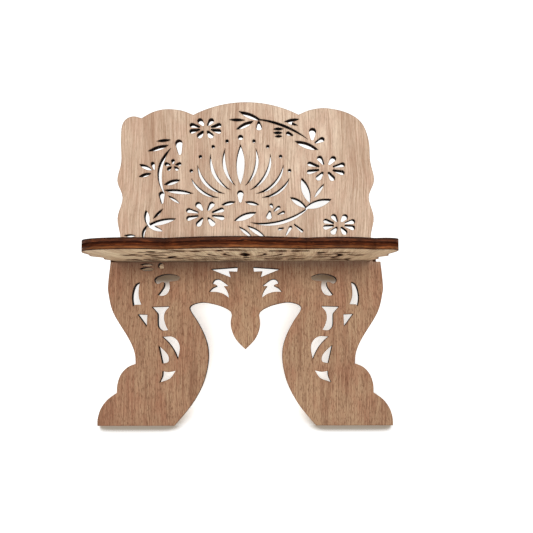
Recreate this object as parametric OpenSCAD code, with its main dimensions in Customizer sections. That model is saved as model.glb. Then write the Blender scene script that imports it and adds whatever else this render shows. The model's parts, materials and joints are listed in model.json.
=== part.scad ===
// Book stand made of two identical pierced plywood panels that cross in an X.
// Each panel has a reading board above the crossing and a pair of scrolled legs below it.
// A half-width slot in each panel takes the other one, so they slide together from the side.
// The origin is on the table under the middle of the stand, +Z up, front towards -Y.

/* [Board] */
// Width of the reading board between its straight side edges
board_w = 139; // [120:1:160]
// Height of the reading board along the panel, from the crossing to the top lobe
board_h = 89; // [80:1:110]

/* [Legs] */
// Height of the legs along the panel, from the crossing to the feet
leg_h = 91; // [80:1:110]
// Overall width across the feet
feet_w = 157.6; // [140:0.2:180]

/* [Plywood] */
// Thickness of the plywood sheet, shared equally by its plies
panel_t = 5; // [3:0.5:6]

/* [Crossing] */
// Angle between the two reading boards
open_angle = 94; // [86:1:104]
// Play of the slot around the other panel, over both sides together
slot_play = 0.4; // [0.2:0.05:1]
// Distance by which each slot stops short of the panel's middle line
slot_short = 0.6; // [0:0.1:4]
// Gap left between the two slot ends when the panels are pushed home
end_gap = 0.3; // [0.1:0.05:1]

/* [Piercing] */
// Thickness multiplier of the stems and scroll strokes
stroke = 1; // [0.6:0.05:1.2]
// Number of petals on each flower
petals = 8; // [5:1:8]

/* [Hidden] */
$fn = 96;

// The outlines are drawn at these sizes and stretched to the driving ones
drawn_board_w = 139;
drawn_board_h = 89;
drawn_leg_h = 91;
drawn_feet_w = 157.6;
curve_steps = 5; // straight steps between two points of the outline
pierce_steps = 3; // straight steps between two points of a leg's cut-outs
lobe_steps = 20; // straight steps round the middle top lobe
tip_steps = 6; // straight steps round a drop's outer end
root_steps = 3; // straight steps round a drop's inner end
drop_taper = 0.42; // radius of a drop's inner end over that of its outer end
petal_root = 0.46; // where a petal's inner end lies on its way out from the flower's centre
petal_r = 1.22; // radius of the outer end of a petal that lies level
petal_widen = 0.36; // share by which an upright petal is wider than a level one
bud_petal_r = 1.1; // the same radius for the small closed flower
bud_petals = 5;

plies = 3;
ply_t = panel_t / plies;
lean = open_angle / 2; // tilt of a panel from the vertical
cross_skew = abs(open_angle - 90);
slot_w = panel_t * (1 + sin(cross_skew)) / cos(cross_skew) + slot_play;
side_shift = slot_short + end_gap / 2; // each panel's middle line from the stand's middle
axis_z = leg_h * cos(lean) + panel_t / 2 * sin(lean); // height of the crossing line

face_tint = "#bf9a7d";
core_tint = "#7a4b2b";
back_tint = "#cbb798";

// ---- points: x across the panel, y up it, zero where the panels cross ----

function stretch_board(p) = [p.x * board_w / drawn_board_w, p.y * board_h / drawn_board_h];
function stretch_leg(p) = [p.x * feet_w / drawn_feet_w, p.y * leg_h / drawn_leg_h];
function boards(list) = [for (p = list) stretch_board(p)];
function legs(list) = [for (p = list) stretch_leg(p)];
function mirrored(list) = [for (p = list) [-p.x, p.y]];
function reversed(list) = [for (i = [len(list) - 1:-1:0]) list[i]];

// Catmull-Rom point at fraction t of the way from b to c
function spline(a, b, c, d, t) =
    0.5 * (2 * b + (c - a) * t + (2 * a - 5 * b + 4 * c - d) * t * t
        + (3 * b - a - 3 * c + d) * t * t * t);

// Smooth run through the points, without the last, which starts the next run
function run(p, steps = curve_steps) = [
    for (i = [0:len(p) - 2])
        for (k = [0:steps - 1])
            spline(p[max(i - 1, 0)], p[i], p[i + 1], p[min(i + 2, len(p) - 1)], k / steps)
];
function cut(p) = run(p, pierce_steps);

// Shallow round cap from the right-hand notch up to the board's full height and down again
function middle_lobe(from) =
    let (rise = board_h - from.y,
        r = (from.x * from.x + rise * rise) / (2 * rise),
        spread = asin(from.x / r))
    [for (i = [0:lobe_steps - 1])
        let (a = spread * (1 - 2 * i / lobe_steps))
        [r * sin(a), board_h - r + r * cos(a)]];

notch = [29.9, 81.5]; // where the middle lobe meets the side lobes
shoulder_y = -slot_w / 2;
scallops = [[69.4, 11], [71.3, 21.8], [68.8, 33.3], [72, 43.2], [70.1, 54]];
round_corner = [[69.5, 66], [65.9, 76.3], [58, 82.4], [46.2, 85.3], [37, 84.4], notch];
left_lobe = [[-29.9, 81.5], [-37, 84.2], [-45.8, 84.9], [-53, 83.2], [-59.3, 79.6]];
left_corner = [[-59.3, 79.6], [-63.8, 80.7], [-67.9, 79.2], [-70.3, 75], [-70.7, 66]];

leg_side = [[75.4, -14.8], [75, -20.5], [72, -31], [63.4, -44.7], [60, -52.2], [59.2, -58.3]];
upper_foot_lobe = [[59.2, -58.3], [63.6, -60.2], [67.1, -64], [68.8, -69.2], [68.9, -73.7]];
lower_foot_lobe = [[68.9, -73.7], [73.9, -77.3], [77.3, -82], [78.8, -87.2], [78.8, -91]];
arch_side = [
    [37.8, -91], [28.7, -80], [22.9, -69.3], [20.3, -58.9], [20.2, -50.6], [22.4, -43],
    [26.3, -35.5], [30, -29.9], [30.2, -27.3], [26.8, -25.6], [22, -25.2], [15, -26.7],
    [10.3, -28.7], [8, -30.4],
];
drop_side = [[7.4, -32], [8, -36.8], [7, -41.6], [4.6, -46], [0, -50.7]];

// The right side rises from the shoulder, and the slot opens on the left
module outline() {
    board_edge = board_w / 2 + 0.6;
    shoulder = 74.4 * feet_w / drawn_feet_w;
    outer = concat([[shoulder, shoulder_y]], legs(leg_side));
    polygon(concat(
        run(concat([[board_edge, shoulder_y]], boards(scallops), boards(round_corner))),
        middle_lobe(stretch_board(notch)),
        run(boards(left_lobe)),
        run(concat(boards(left_corner), reversed(boards(mirrored(scallops))),
            [[-board_edge, slot_w / 2]])),
        [[-board_edge, slot_w / 2], [-slot_short, slot_w / 2], [-slot_short, shoulder_y]],
        run(mirrored(outer)),
        run(legs(mirrored(upper_foot_lobe))),
        run(legs(mirrored(lower_foot_lobe))),
        [stretch_leg([-78.8, -91])],
        run(legs(mirrored(arch_side))),
        [stretch_leg([-8, -30.4])],
        run(legs(mirrored(drop_side))),
        run(legs(reversed(drop_side))),
        [stretch_leg([7.4, -32])],
        run(legs(reversed(arch_side))),
        [stretch_leg([37.8, -91])],
        run(legs(reversed(lower_foot_lobe))),
        run(legs(reversed(upper_foot_lobe))),
        run(reversed(outer)),
        [[shoulder, shoulder_y]]
    ));
}

// ---- cut-out shapes ----

// Leaf pointed at p and q, w from its middle line to either edge
module leaf(p, q, w) {
    half = norm(q - p) / 2;
    r = (half * half + w * w) / (2 * w);
    translate((p + q) / 2)
        rotate(atan2(q.y - p.y, q.x - p.x))
            intersection() {
                translate([0, w - r]) circle(r = r);
                translate([0, r - w]) circle(r = r);
            }
}

// Curved stroke from p to q that bulges by rise to the left and is w thick in the middle
module bow(p, q, rise, w) {
    half = norm(q - p) / 2;
    outer_rise = rise + w * stroke / 2;
    inner_rise = rise - w * stroke / 2;
    outer_r = (half * half + outer_rise * outer_rise) / (2 * outer_rise);
    inner_r = (half * half + inner_rise * inner_rise) / (2 * inner_rise);
    translate((p + q) / 2)
        rotate(atan2(q.y - p.y, q.x - p.x))
            difference() {
                translate([0, outer_rise - outer_r]) circle(r = outer_r);
                translate([0, inner_rise - inner_r]) circle(r = inner_r);
            }
}

// Drop with a small round end round p and a larger one of radius r round q
module drop(p, q, r) {
    small = r * drop_taper;
    heading = atan2(q.y - p.y, q.x - p.x);
    spread = 90 + asin((r - small) / norm(q - p));
    polygon(concat([
        for (i = [0:tip_steps])
            let (a = heading + spread * (2 * i / tip_steps - 1))
            q + r * [cos(a), sin(a)]
    ], [
        for (i = [0:root_steps])
            let (a = heading + spread + (360 - 2 * spread) * i / root_steps)
            p + small * [cos(a), sin(a)]
    ]));
}

// Open flower: its petals point at the centre and their outer ends lie on an ellipse
module flower(centre, rx, ry, turn) {
    for (i = [0:petals - 1]) {
        a = turn + 360 * i / petals;
        way = [rx * cos(a), ry * sin(a)];
        drop(centre + petal_root * way, centre + way, petal_r * (1 + petal_widen * abs(sin(a))));
    }
}

// ---- the reading board's piercing ----

module flowers() {
    flower(stretch_board([-22.9, 73.6]), 8.3, 4.7, 22);
    flower(stretch_board([-22.5, 24]), 10, 5.9, 24);
    flower(stretch_board([45.1, 50.1]), 10, 6.1, 20);
    flower(stretch_board([52, 18]), 8.1, 4.6, 21);
    bud_ring(stretch_board([-41, 52]), 3.9, 2.6);
}

// Small closed flower with one petal upright
module bud_ring(centre, rx, ry) {
    for (i = [0:bud_petals - 1]) {
        a = 90 + 360 * i / bud_petals;
        way = [rx * cos(a), ry * sin(a)];
        drop(centre + petal_root * way, centre + way, bud_petal_r);
    }
}

stems = [
    // [from, to, rise, thickness], bulging to the left of the way from one end to the other
    [[3.4, 79.2], [35.2, 66.9], 2.5, 1.6],
    [[36.6, 29.2], [2.4, 19.3], 4.8, 2.3],
    [[-45.3, 35.6], [-42, 62.2], 4.6, 2.5],
    [[-56.6, 9.5], [-54.2, 18], 1.2, 1.7],
];

leaves = [
    // [from, to, half thickness]: spray at the top
    [[-4.2, 83.6], [9, 78], 1.5],
    [[-9.6, 78.6], [-0.4, 78.3], 0.9],
    [[-5.6, 72.8], [4.4, 77.9], 1.4],
    [[21.6, 77.3], [30.4, 78.9], 1],
    [[22.6, 77.6], [29.6, 75], 0.8],
    [[15.4, 73], [21.4, 73.1], 0.9],
    [[15.4, 70.8], [20.8, 70.8], 0.9],
    [[16.4, 68.7], [20.6, 68.8], 0.8],
    [[27.6, 66], [41, 60.8], 1.7],
    // right spray, below the big flower
    [[31.4, 44.7], [35.8, 30.2], 2.2],
    [[38.4, 33.2], [43.9, 41.2], 0.9],
    [[24.8, 33.6], [34, 27.4], 1.6],
    [[32.8, 27.2], [48, 32.3], 2.2],
    // foot of the board
    [[-6.5, 20.2], [6, 25], 1.8],
    [[-3.8, 17], [4, 10.4], 1],
    [[0.8, 17.5], [11.2, 10.6], 1.3],
    // left spray
    [[-50.6, 66], [-42.3, 66.8], 0.9],
    [[-55.4, 60.2], [-43.4, 63.8], 1.3],
    [[-59.9, 52.7], [-52.6, 49.2], 1.2],
    [[-60.1, 45.4], [-53, 47.4], 1.1],
    [[-45.9, 40.8], [-36.7, 43.6], 1.4],
    [[-46, 37.8], [-29.2, 35.8], 1.3],
    [[-43.4, 34.6], [-36.8, 30], 0.8],
    // low left spray
    [[-55.7, 26.4], [-54.2, 17.4], 1.5],
    [[-51.6, 21.3], [-46, 27.2], 0.8],
    [[-54.9, 17.7], [-38.6, 21.5], 1.6],
    [[-54.8, 17.8], [-46, 14.3], 1.2],
    [[-67.4, 12], [-60.9, 11.8], 0.8],
];

buds = [
    // [root, end, radius of the end]
    [[7.3, 77.2], [7.5, 74], 1.7],
    [[26.4, 69.4], [23.9, 70.5], 1.2],
    [[37.6, 67.2], [37.8, 71.7], 2.1],
    [[39.5, 65.1], [43.1, 66.9], 1.5],
    [[-37.2, 58.9], [-37.9, 65], 2.1],
    [[-46.6, 30.6], [-47, 35.3], 1.7],
    [[-51.6, 49.8], [-52.4, 53], 1.1],
    [[15, 27.6], [14.2, 29.1], 1],
    [[15.9, 25.7], [18.4, 27.7], 1],
    [[18, 23.8], [21, 24.9], 0.9],
    [[13.4, 25.3], [13, 22.5], 1.6],
    [[21, 16], [18.8, 15.4], 0.8],
    [[22.6, 12.2], [25, 16.4], 0.9],
    [[27.2, 18], [31.2, 14.4], 0.9],
];

module sprays() {
    for (s = stems) bow(stretch_board(s[0]), stretch_board(s[1]), s[2], s[3]);
    for (l = leaves) leaf(stretch_board(l[0]), stretch_board(l[1]), l[2]);
    for (b = buds) drop(stretch_board(b[0]), stretch_board(b[1]), b[2]);
}

// Plain lotus ornament in the middle: a bud, four pairs of curved strokes and a row of dots
module lotus() {
    strokes = [
        // [low end, high end, rise, thickness] of each right-hand stroke
        [[2.6, -9.5], [8.6, 12.4], 3.2, 1.8],
        [[5.2, -12], [16.8, 9], 3.8, 1.9],
        [[8.6, -14], [24.2, 2.6], 3.8, 1.9],
        [[12, -16.2], [27.6, -5], 2.8, 1.8],
    ];
    dots = [[7.6, 16.4], [15.4, 13.2], [22.6, 7.4], [27.6, -0.8]];
    translate(stretch_board([-3, 49.6])) {
        leaf([0, -8.5], [0, 14.6], 2.3);
        translate([0, 18.6]) circle(r = 1.5);
        drop([0, -18.4], [0, -13.8], 1.8);
        for (side = [0, 1])
            mirror([side, 0, 0]) {
                for (s = strokes) bow(s[1], s[0], s[2], s[3]);
                for (d = dots) translate(d) circle(r = 1);
                leaf([2.6, -18.6], [10.6, -20.4], 1.1);
            }
    }
}

// ---- the legs' piercing, drawn for the right leg ----

module leg_piercing() {
    hook = concat(
        cut([[48.1, -21.1], [45.7, -21.6], [43, -20.5], [41.6, -17.6], [41.8, -13.7]]),
        cut([[41.8, -13.7], [36.9, -13], [36.4, -11], [40.5, -9.6], [45.1, -9.7], [49.4, -11.4],
            [50, -13.6], [48.2, -15], [46.2, -14.2], [44.7, -14.2], [45.2, -17], [48.1, -21.1]])
    );
    crescent = concat(
        cut([[58, -14], [60.3, -15.2], [61.7, -18.5], [62.2, -22.8], [61.4, -27.4]]),
        [[61.4, -27.4], [60.4, -26.4]],
        cut([[57, -26.3], [58.3, -22.7], [58.6, -19], [58, -14]])
    );
    vase = concat(
        cut([[41.3, -27.3], [43.9, -30.4], [44.4, -34], [43.4, -37.6], [42, -40.2]]),
        cut([[42, -40.2], [45.3, -40.4], [47.5, -38.4], [47.9, -34.9], [48, -31.5],
            [49.2, -29.8], [51.2, -27.6]]),
        [[51.2, -27.6]]
    );
    shard = [[58.9, -31.6], [53.5, -31.8], [53.7, -38.5]];
    wing = concat(
        cut([[45.2, -43.9], [40.3, -43.7], [36.9, -45.9], [35.5, -50], [36.5, -56.1]]),
        cut([[36.5, -56.1], [38.7, -51.3], [41.9, -46.9], [45.2, -43.9]])
    );
    thorn = concat(
        cut([[47.2, -48.4], [43.6, -51.6], [41.5, -54.6], [41.7, -57.4], [44.9, -58.2]]),
        [[44.9, -58.2]]
    );
    fang = concat(
        cut([[44.7, -62.2], [41.3, -62.8], [37.6, -62.1]]),
        cut([[37.6, -62.1], [40.6, -66.2], [46.3, -68.3]]),
        cut([[46.3, -68.3], [44.9, -65.2], [44.7, -62.2]])
    );
    barb = [[19.4, -6.8], [4.3, -5.7], [4.6, -8.3], [9.3, -8.1], [8.2, -11.4]];
    fish = concat(
        cut([[18.2, -14.8], [17.4, -13.2], [16, -12.4], [13.8, -12.8], [9.2, -16.2]]),
        [[9.2, -16.2]],
        cut([[12, -16.3], [10.6, -18.2], [9.5, -20.4], [9.1, -22.6]]),
        cut([[9.1, -22.6], [11.9, -20.6], [15.6, -19.5], [20.1, -19.4]]),
        cut([[20.1, -19.4], [18.1, -17.3], [15.6, -15.9], [18.2, -14.8]])
    );
    for (shape = [hook, crescent, vase, shard, wing, thorn, fang, barb, fish])
        polygon(legs(shape));
}

// Three small cuts just under the slot, on the slot's side only
module low_sprig() {
    leaf([-58, -4.2], [-50.6, -4.6], 0.8);
    leaf([-58.4, -6.6], [-50.2, -7], 1.1);
    drop([-45.6, -6], [-46.6, -4.9], 1.7);
}

module panel_profile() {
    difference() {
        outline();
        flowers();
        sprays();
        lotus();
        leg_piercing();
        mirror([1, 0, 0]) leg_piercing();
        low_sprig();
    }
}

// ---- the panels ----

// Ply number i of a panel, counted from the underside to the reading face
module ply(i, tint) {
    color(tint)
        translate([side_shift, 0, axis_z])
            rotate([90 - lean, 0, 0])
                translate([0, 0, i * ply_t - panel_t / 2])
                    linear_extrude(height = ply_t) panel_profile();
}

// The rear panel holds the back board and the front legs
module rear_panel_back_ply() { ply(0, back_tint); }
module rear_panel_core_ply() { ply(1, core_tint); }
module rear_panel_face_ply() { ply(2, face_tint); }

// The front panel is the same panel turned half round about the upright axis
module front_panel_back_ply() { rotate([0, 0, 180]) ply(0, back_tint); }
module front_panel_core_ply() { rotate([0, 0, 180]) ply(1, core_tint); }
module front_panel_face_ply() { rotate([0, 0, 180]) ply(2, face_tint); }

rear_panel_face_ply();
rear_panel_core_ply();
rear_panel_back_ply();
front_panel_face_ply();
front_panel_core_ply();
front_panel_back_ply();
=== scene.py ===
"""Book stand of two slotted plywood panels: wood, burnt edges, floor, light and camera."""

import json
import math
from collections import namedtuple

import bpy
from mathutils import Matrix, Vector


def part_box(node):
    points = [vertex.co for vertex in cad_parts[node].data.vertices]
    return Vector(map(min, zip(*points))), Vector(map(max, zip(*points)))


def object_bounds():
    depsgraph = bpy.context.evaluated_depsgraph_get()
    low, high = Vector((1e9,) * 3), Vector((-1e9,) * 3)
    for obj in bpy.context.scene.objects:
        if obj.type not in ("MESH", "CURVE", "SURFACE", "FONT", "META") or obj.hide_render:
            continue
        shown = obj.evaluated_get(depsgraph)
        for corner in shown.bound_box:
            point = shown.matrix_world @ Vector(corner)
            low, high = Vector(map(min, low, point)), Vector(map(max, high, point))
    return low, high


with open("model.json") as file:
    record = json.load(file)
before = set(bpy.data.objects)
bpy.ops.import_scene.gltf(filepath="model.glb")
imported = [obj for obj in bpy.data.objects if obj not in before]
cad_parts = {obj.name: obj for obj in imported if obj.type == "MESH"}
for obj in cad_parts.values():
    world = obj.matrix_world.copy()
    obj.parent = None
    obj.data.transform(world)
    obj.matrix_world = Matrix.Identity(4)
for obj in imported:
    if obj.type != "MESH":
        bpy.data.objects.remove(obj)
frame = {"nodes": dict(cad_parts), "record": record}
cad_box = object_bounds()
record = frame["record"]

MM = 1000.0  # shader coordinates are in millimetres
PLIES = ("face", "core", "back")


# ---- the panels' own axes, from the record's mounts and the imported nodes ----


class Panel:
    """u runs across the panel, v up it and n out of its reading face, from the crossing line."""

    def __init__(self, side):
        face_mount = next(m for m in record["mounts"] if m["name"] == f"{side}_book_face")
        self.nodes = {ply: frame["nodes"][f"{side}_panel_{ply}_ply"] for ply in PLIES}
        normal = Vector(face_mount["axis"]).normalized()
        across = Vector((1.0 if normal.y < 0 else -1.0, 0.0, 0.0))
        heights = [v.co.dot(normal) for node in self.nodes.values() for v in node.data.vertices]
        top, bottom = max(heights), min(heights)
        low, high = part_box(self.nodes["face"].name)
        self.thickness = top - bottom
        self.origin = Vector(((low.x + high.x) / 2, 0.0, (top + bottom) / 2 / normal.z))
        self.turn = Matrix((across, normal.cross(across), normal)).transposed()


# ---- shader graph helpers ----


class Graph:
    """A material's node tree, with short ways to add the nodes used here."""

    def __init__(self, name):
        self.material = bpy.data.materials.new(name)
        self.material.use_nodes = True
        self.tree = self.material.node_tree
        self.tree.nodes.clear()

    def add(self, kind, **settings):
        node = self.tree.nodes.new(kind)
        for key, value in settings.items():
            setattr(node, key, value)
        return node

    def feed(self, socket, value):
        """Give a socket another node's output, or a plain value."""
        if isinstance(value, bpy.types.NodeSocket):
            self.tree.links.new(value, socket)
        else:
            socket.default_value = value

    def math(self, operation, *values):
        node = self.add("ShaderNodeMath", operation=operation)
        for socket, value in zip(node.inputs, values):
            self.feed(socket, value)
        return node.outputs[0]

    def noise(self, x, y, z, octaves, roughness=0.5):
        place = self.add("ShaderNodeCombineXYZ")
        for socket, value in zip(place.inputs, (x, y, z)):
            self.feed(socket, value)
        node = self.add("ShaderNodeTexNoise", noise_dimensions="3D")
        self.feed(node.inputs["Vector"], place.outputs[0])
        node.inputs["Scale"].default_value = 1.0
        node.inputs["Detail"].default_value = octaves
        node.inputs["Roughness"].default_value = roughness
        return node.outputs["Fac"]

    def span(self, value, low, high, to_low=0.0, to_high=1.0, smooth=False):
        """to_low where value is low, to_high where it is high, and in between a ramp."""
        kind = "SMOOTHSTEP" if smooth else "LINEAR"
        node = self.add("ShaderNodeMapRange", clamp=True, interpolation_type=kind)
        self.feed(node.inputs["Value"], value)
        node.inputs["From Min"].default_value = low
        node.inputs["From Max"].default_value = high
        node.inputs["To Min"].default_value = to_low
        node.inputs["To Max"].default_value = to_high
        return node.outputs["Result"]

    def mix(self, factor, first, second):
        node = self.add("ShaderNodeMix", data_type="RGBA")
        self.feed(node.inputs[0], factor)
        self.feed(node.inputs[6], first)
        self.feed(node.inputs[7], second)
        return node.outputs[2]

    def blend(self, factor, strength, first, second):
        """Mix with a factor that never passes strength."""
        return self.mix(self.math("MULTIPLY", factor, strength), first, second)

    def ramp(self, factor, stops):
        node = self.add("ShaderNodeValToRGB")
        elements = node.color_ramp.elements
        while len(elements) < len(stops):
            elements.new(0.5)
        for element, (position, colour) in zip(elements, stops):
            element.position = position
            element.color = colour
        self.feed(node.inputs["Fac"], factor)
        return node.outputs["Color"]

    def occlusion(self, distance, samples, **settings):
        """1 in the open, less where something is nearer than distance in metres."""
        node = self.add("ShaderNodeAmbientOcclusion", samples=samples, **settings)
        node.inputs["Distance"].default_value = distance
        return node.outputs["AO"]


def srgb(red, green, blue):
    """A colour given as it looks on a screen, 0 to 255, as the linear one that shaders use."""

    def linear(c):
        c /= 255
        return c / 12.92 if c <= 0.04045 else ((c + 0.055) / 1.055) ** 2.4

    return (linear(red), linear(green), linear(blue), 1.0)


# ---- wood ----

Tones = namedtuple("Tones", "light middle streak red")
BOARD = Tones(srgb(236, 213, 189), srgb(208, 181, 156), srgb(150, 111, 85), srgb(214, 177, 154))
# LEG is the board's own face veneer made darker: painted shade from the front board above the legs
LEG = Tones(srgb(180, 149, 118), srgb(165, 130, 102), srgb(109, 68, 49), srgb(163, 114, 89))
BACK = Tones(srgb(200, 180, 148), srgb(176, 150, 118), srgb(112, 78, 52), srgb(190, 160, 130))
PORE = srgb(96, 60, 42)
SCORCH = srgb(100, 62, 36)
# Painted shade: the dark brown that the skin turns under the crossing, close to the other panel
CREASE_SHADE_BROWN = srgb(60, 29, 17)
# Real char made black with painted shade, for walls in narrow cut-outs and low on the panel
BURNT_SHADE_BLACK = srgb(16, 10, 8)

# Marks in the veneer: their width and length in mm, where their noise is read, its octaves
# and roughness, the noise values at which a mark begins and is full, and its strength
Marks = namedtuple(
    "Marks", "width length offset octaves roughness begins full strength", defaults=(1.0,)
)
BANDS = Marks(12.0, 230.0, 3.1, 3.0, 0.55, 0.36, 0.64)
PATCHES = Marks(7.0, 17.0, 23.9, 3.0, 0.6, 0.42, 0.66, 0.6)
BROAD = Marks(8.5, 150.0, 37.3, 2.0, 0.55, 0.52, 0.66, 0.34)
STREAKS = Marks(3.0, 75.0, 7.7, 4.0, 0.62, 0.52, 0.74, 0.5)
LINES = Marks(0.5, 30.0, 11.3, 3.0, 0.65, 0.40, 0.62, 0.6)
PALE = Marks(0.45, 20.0, 29.5, 2.0, 0.55, 0.50, 0.68, 0.45)
SPECKS = Marks(0.42, 2.2, 17.9, 2.0, 0.6, 0.50, 0.66)
BOARD_SPECKLE = 0.2
LEG_SPECKLE = 0.62
BACK_SPECKLE = 0.15
LINE_DEPTH = 0.6  # depth of the fine lines beside that of the pores

# The grain drifts sideways by up to DRIFT, in waves this wide and long, all in mm
DRIFT = 9.0
DRIFT_WIDTH = 45.0
DRIFT_LENGTH = 70.0

# The palest grain runs up the panel at HEART_U from its middle. At HEART_EDGE from there
# it has faded out, and from SIDES_BEGIN to SIDES_FULL the grain turns darker, all in mm.
HEART_U = 22.0
HEART_CORE = 8.0
HEART_EDGE = 56.0
SIDES_BEGIN = 50.0
SIDES_FULL = 84.0
HEART_STRENGTH = 0.8

CROSSING_FADE = 8.0  # the legs' darker tones, painted shade, turn into the board's over this far each way, in mm
CREASE_REACH = 0.018  # how far the other panel shades the skin under the crossing, in metres
CREASE_EDGE = 3.0  # the shade comes in over this far from the crossing line, in mm
CREASE_SHADE = 0.7

# How far a cut scorches the skin beside it, in metres, and how strongly
FACE_SCORCH = (0.0006, 0.45)
BACK_SCORCH = (0.0016, 0.9)

# The cut edge from the underside to the reading face: three plies between burnt lines
RIM = [
    (0.0, srgb(41, 22, 12)),
    (0.07, srgb(69, 38, 21)),
    (0.12, srgb(143, 88, 47)),
    (0.24, srgb(131, 76, 39)),
    (0.34, srgb(69, 32, 18)),
    (0.42, srgb(101, 50, 26)),
    (0.56, srgb(52, 23, 14)),
    (0.66, srgb(43, 20, 12)),
    (0.72, srgb(101, 54, 30)),
    (0.88, srgb(84, 45, 27)),
    (0.94, srgb(38, 20, 13)),
    (1.0, srgb(29, 16, 11)),
]
RIM_STREAK = srgb(32, 15, 10)
RIM_GLOW = srgb(150, 80, 40)
RIM_DARK = srgb(38, 19, 12)
RIM_WANDER = 0.10  # share of the thickness by which the ply lines wander
BLACK_CUT_REACH = 0.006  # a cut-out about this wide, in metres, is black inside: real char with painted shade
BLACK_WALLS_BELOW = 40.0  # walls lower on the panel than this are black, real char with painted shade, in mm above the crossing
PLIES_FROM = 62.0  # walls higher than this show their plies clearly
SKIN_EDGE = 0.02  # depth in mm within which a point counts as on the skin


def panel_axes(g, panel):
    """The sockets u, v and n in millimetres, at rest, on the panel that this material is for."""
    mapping = g.add("ShaderNodeMapping", vector_type="TEXTURE")
    g.feed(mapping.inputs["Vector"], g.add("ShaderNodeTexCoord").outputs["Object"])
    mapping.inputs["Location"].default_value = panel.origin
    mapping.inputs["Rotation"].default_value = panel.turn.to_euler()
    split = g.add("ShaderNodeSeparateXYZ")
    g.feed(split.inputs[0], mapping.outputs[0])
    return [g.math("MULTIPLY", socket, MM) for socket in split.outputs]


def veneer(g, u, v, seed, tones, speckle):
    """Straight-grained veneer: slow bands and red patches, fine lines and short pores."""
    slow = g.noise(g.math("DIVIDE", u, DRIFT_WIDTH), g.math("DIVIDE", v, DRIFT_LENGTH), seed, 2.0)
    drift = g.math("MULTIPLY_ADD", slow, DRIFT, u)

    def layer(marks, smooth=False):
        x = g.math("DIVIDE", drift, marks.width)
        y = g.math("DIVIDE", v, marks.length)
        noise = g.noise(x, y, seed + marks.offset, marks.octaves, marks.roughness)
        return g.span(noise, marks.begins, marks.full, smooth=smooth)

    lines = layer(LINES)
    specks = layer(SPECKS)
    off_heart = g.math("ABSOLUTE", g.math("SUBTRACT", drift, HEART_U))
    base = g.mix(layer(BANDS, smooth=True), tones.light, tones.middle)
    heart = g.span(off_heart, HEART_EDGE, HEART_CORE, 0.0, HEART_STRENGTH, smooth=True)
    sides = g.span(off_heart, SIDES_BEGIN, SIDES_FULL, 0.0, HEART_STRENGTH)
    base = g.mix(heart, base, tones.light)
    base = g.mix(sides, base, tones.middle)
    base = g.blend(layer(PATCHES), PATCHES.strength, base, tones.red)
    base = g.blend(layer(BROAD, smooth=True), BROAD.strength, base, tones.streak)
    base = g.blend(layer(STREAKS), STREAKS.strength, base, tones.streak)
    base = g.blend(lines, LINES.strength, base, tones.streak)
    base = g.blend(layer(PALE), PALE.strength, base, tones.light)
    base = g.blend(specks, speckle, base, PORE)
    relief = g.math("SUBTRACT", g.math("MULTIPLY", lines, -LINE_DEPTH), specks)
    return base, relief


def burnt_wall(g, u, v, n, thickness, seed):
    """Laser-cut edge, streaked along the rim, and black in the narrow cut-outs and low walls: real
    char with painted shade.
    """

    def smudge(size, third, octaves, roughness=0.5):
        """Noise in marks that are size mm across."""
        return g.noise(g.math("DIVIDE", u, size), g.math("DIVIDE", v, size), third, octaves, roughness)

    share = g.math("MULTIPLY_ADD", n, 1 / (thickness * MM), 0.5)
    wander = g.math("SUBTRACT", smudge(16.0, seed, 2.0), 0.5)
    tone = g.ramp(g.math("MULTIPLY_ADD", wander, RIM_WANDER, share), RIM)
    streak = smudge(5.0, g.math("DIVIDE", n, 0.34), 4.0, 0.65)
    tone = g.mix(g.span(streak, 0.40, 0.62, 0.0, 0.80), tone, RIM_STREAK)
    glow = smudge(3.6, g.math("DIVIDE", n, 0.5), 3.0, 0.6)
    tone = g.mix(g.span(glow, 0.56, 0.74, 0.0, 0.5), tone, RIM_GLOW)
    tone = g.mix(g.span(smudge(11.0, seed + 5.0, 2.0), 0.44, 0.66, 0.0, 0.55), tone, RIM_DARK)
    # Painted shade with real char: narrow cut-outs and walls low on the panel turn black
    closed_in = g.span(g.occlusion(BLACK_CUT_REACH, 6, only_local=True), 0.62, 0.95, 0.98, 0.0)
    low = g.span(v, BLACK_WALLS_BELOW, PLIES_FROM, 0.75, 0.0)
    tone = g.mix(g.math("MAXIMUM", closed_in, low), tone, BURNT_SHADE_BLACK)
    return tone, streak


def ply_skin(g, u, v, ply, seed):
    """Face or back veneer with its scorch marks and the shade under the crossing."""
    on_front = ply == "face"
    tones, speckle = BACK, BACK_SPECKLE
    if on_front:
        fade = (-CROSSING_FADE, CROSSING_FADE)
        # Below the crossing the skin takes the darker LEG tones: painted shade under the front board
        out_of_leg_shade = g.span(v, *fade, smooth=True)
        tones = Tones(*(g.mix(out_of_leg_shade, leg, board) for leg, board in zip(LEG, BOARD)))
        speckle = g.span(v, *fade, LEG_SPECKLE, BOARD_SPECKLE)
    skin, relief = veneer(g, u, v, seed, tones, speckle)
    reach, scorch = FACE_SCORCH if on_front else BACK_SCORCH
    near_cut = g.occlusion(reach, 6, inside=True, only_local=True)
    skin = g.mix(g.span(near_cut, 0.5, 1.0, scorch, 0.0), skin, SCORCH)
    # Painted shade under the crossing, darker where the other panel is near
    depth = g.span(g.occlusion(CREASE_REACH, 8), 0.5, 0.96, CREASE_SHADE, 0.0)
    under = g.span(v, 0.0, -CREASE_EDGE if on_front else CREASE_EDGE)
    return g.blend(depth, under, skin, CREASE_SHADE_BROWN), relief


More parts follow.
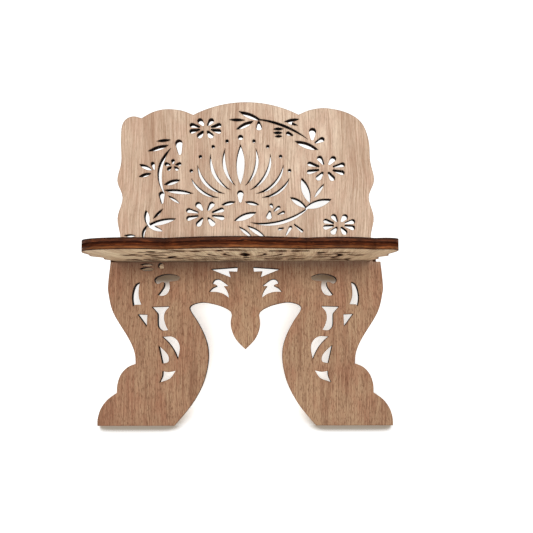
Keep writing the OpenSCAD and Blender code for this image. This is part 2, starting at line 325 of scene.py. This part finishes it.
def wood(name, panel, ply, seed):
    g = Graph(name)
    u, v, n = panel_axes(g, panel)
    colour, height = burnt_wall(g, u, v, n, panel.thickness, seed)
    if ply != "core":
        skin, relief = ply_skin(g, u, v, ply, seed)
        face_n = panel.thickness * MM / 2 - SKIN_EDGE
        on_face = g.math("GREATER_THAN", g.math("ABSOLUTE", n), face_n)
        colour = g.mix(on_face, colour, skin)
        height = g.mix(on_face, height, relief)
    bump = g.add("ShaderNodeBump")
    bump.inputs["Strength"].default_value = 0.35
    bump.inputs["Distance"].default_value = 0.00006
    g.feed(bump.inputs["Height"], height)
    shader = g.add("ShaderNodeBsdfPrincipled")
    g.feed(shader.inputs["Base Color"], colour)
    g.feed(shader.inputs["Normal"], bump.outputs[0])
    shader.inputs["Roughness"].default_value = 0.72
    shader.inputs["Specular IOR Level"].default_value = 0.0 if ply == "core" else 0.1
    g.feed(g.add("ShaderNodeOutputMaterial").inputs["Surface"], shader.outputs[0])
    return g.material


SIDE_SEEDS = {"rear": 3.7, "front": 41.3}
INNER_SEED = 9.1  # added for the core and back plies, so that their grain differs

for side, side_seed in SIDE_SEEDS.items():
    panel = Panel(side)
    for ply, node in panel.nodes.items():
        seed = side_seed + (0.0 if ply == "face" else INNER_SEED)
        node.data.materials.clear()
        node.data.materials.append(wood(f"{side}_{ply}_wood", panel, ply, seed))


# ---- floor and light ----

FLOOR_SIZE = 8.0
FLOOR_GAP = 0.0002  # below the feet
FLOOR_GLOW = 0.52
FLOOR_OPEN = (0.88, 0.88, 0.875, 1.0)
# Painted contact shadow: the floor turns this brownish grey close to the feet
FLOOR_CONTACT_SHADOW = (0.58, 0.50, 0.41, 1.0)
STUDIO_WHITE = (1.0, 0.995, 0.985, 1.0)
SKY_STRENGTH = 0.38


def pale_floor():
    """Flat floor that glows a little and is shaded where something stands on it."""
    half = FLOOR_SIZE / 2
    corners = [(-half, -half, 0), (half, -half, 0), (half, half, 0), (-half, half, 0)]
    mesh = bpy.data.meshes.new("floor")
    mesh.from_pydata(corners, [], [(0, 1, 2, 3)])
    floor = bpy.data.objects.new("floor", mesh)
    bpy.context.scene.collection.objects.link(floor)
    floor.location.z = cad_box[0].z - FLOOR_GAP
    g = Graph("floor_paint")
    # Painted contact shadow: near the feet the floor darkens and glows less
    clear = g.span(g.occlusion(0.016, 16), 0.42, 0.76)
    matt = g.add("ShaderNodeBsdfDiffuse")
    g.feed(matt.inputs["Color"], g.mix(clear, FLOOR_CONTACT_SHADOW, FLOOR_OPEN))
    glow = g.add("ShaderNodeEmission")
    glow.inputs["Color"].default_value = STUDIO_WHITE
    g.feed(glow.inputs["Strength"], g.math("MULTIPLY", clear, FLOOR_GLOW))
    both = g.add("ShaderNodeAddShader")
    g.feed(both.inputs[0], matt.outputs[0])
    g.feed(both.inputs[1], glow.outputs[0])
    g.feed(g.add("ShaderNodeOutputMaterial").inputs["Surface"], both.outputs[0])
    mesh.materials.append(g.material)


def softbox(name, place, size, power):
    """Square light aimed at the middle of the stand: metres and watts."""
    lamp = bpy.data.lights.new(name, "AREA")
    lamp.shape = "SQUARE"
    lamp.size = size
    lamp.energy = power
    holder = bpy.data.objects.new(name, lamp)
    bpy.context.scene.collection.objects.link(holder)
    holder.location = place
    stand_middle = (cad_box[0] + cad_box[1]) / 2
    holder.rotation_euler = (stand_middle - Vector(place)).to_track_quat("-Z", "Y").to_euler()


pale_floor()

world = bpy.data.worlds.new("studio")
world.use_nodes = True
sky = world.node_tree.nodes["Background"]
sky.inputs["Color"].default_value = STUDIO_WHITE
sky.inputs["Strength"].default_value = SKY_STRENGTH
bpy.context.scene.world = world

softbox("front_light", place=(0.06, -1.13, 1.04), size=0.28, power=15.8)
softbox("rear_light", place=(-0.35, 1.35, 0.26), size=0.4, power=9.0)


# ---- camera ----

CAMERA_AIM = Vector((0.0123, 0.0, 0.0572))
CAMERA_ELEVATION = math.radians(39.8)
CAMERA_ROLL = math.radians(0.12)
CAMERA_DISTANCE = 0.3438
CAMERA_LENS = 41.25

back = Vector((0.0, -math.cos(CAMERA_ELEVATION), math.sin(CAMERA_ELEVATION)))
camera_data = bpy.data.cameras.new("camera")
camera_data.lens = CAMERA_LENS
camera_data.sensor_width = 36.0
camera_data.clip_start = 0.01
camera_data.clip_end = 50.0
camera = bpy.data.objects.new("camera", camera_data)
bpy.context.scene.collection.objects.link(camera)
camera.location = CAMERA_AIM + back * CAMERA_DISTANCE
facing = (-back).to_track_quat("-Z", "Y").to_matrix()
camera.rotation_euler = (facing @ Matrix.Rotation(-CAMERA_ROLL, 3, "Z")).to_euler()
bpy.context.scene.camera = camera

bpy.context.scene.view_settings.view_transform = "Standard"
bpy.context.scene.view_settings.look = "None"
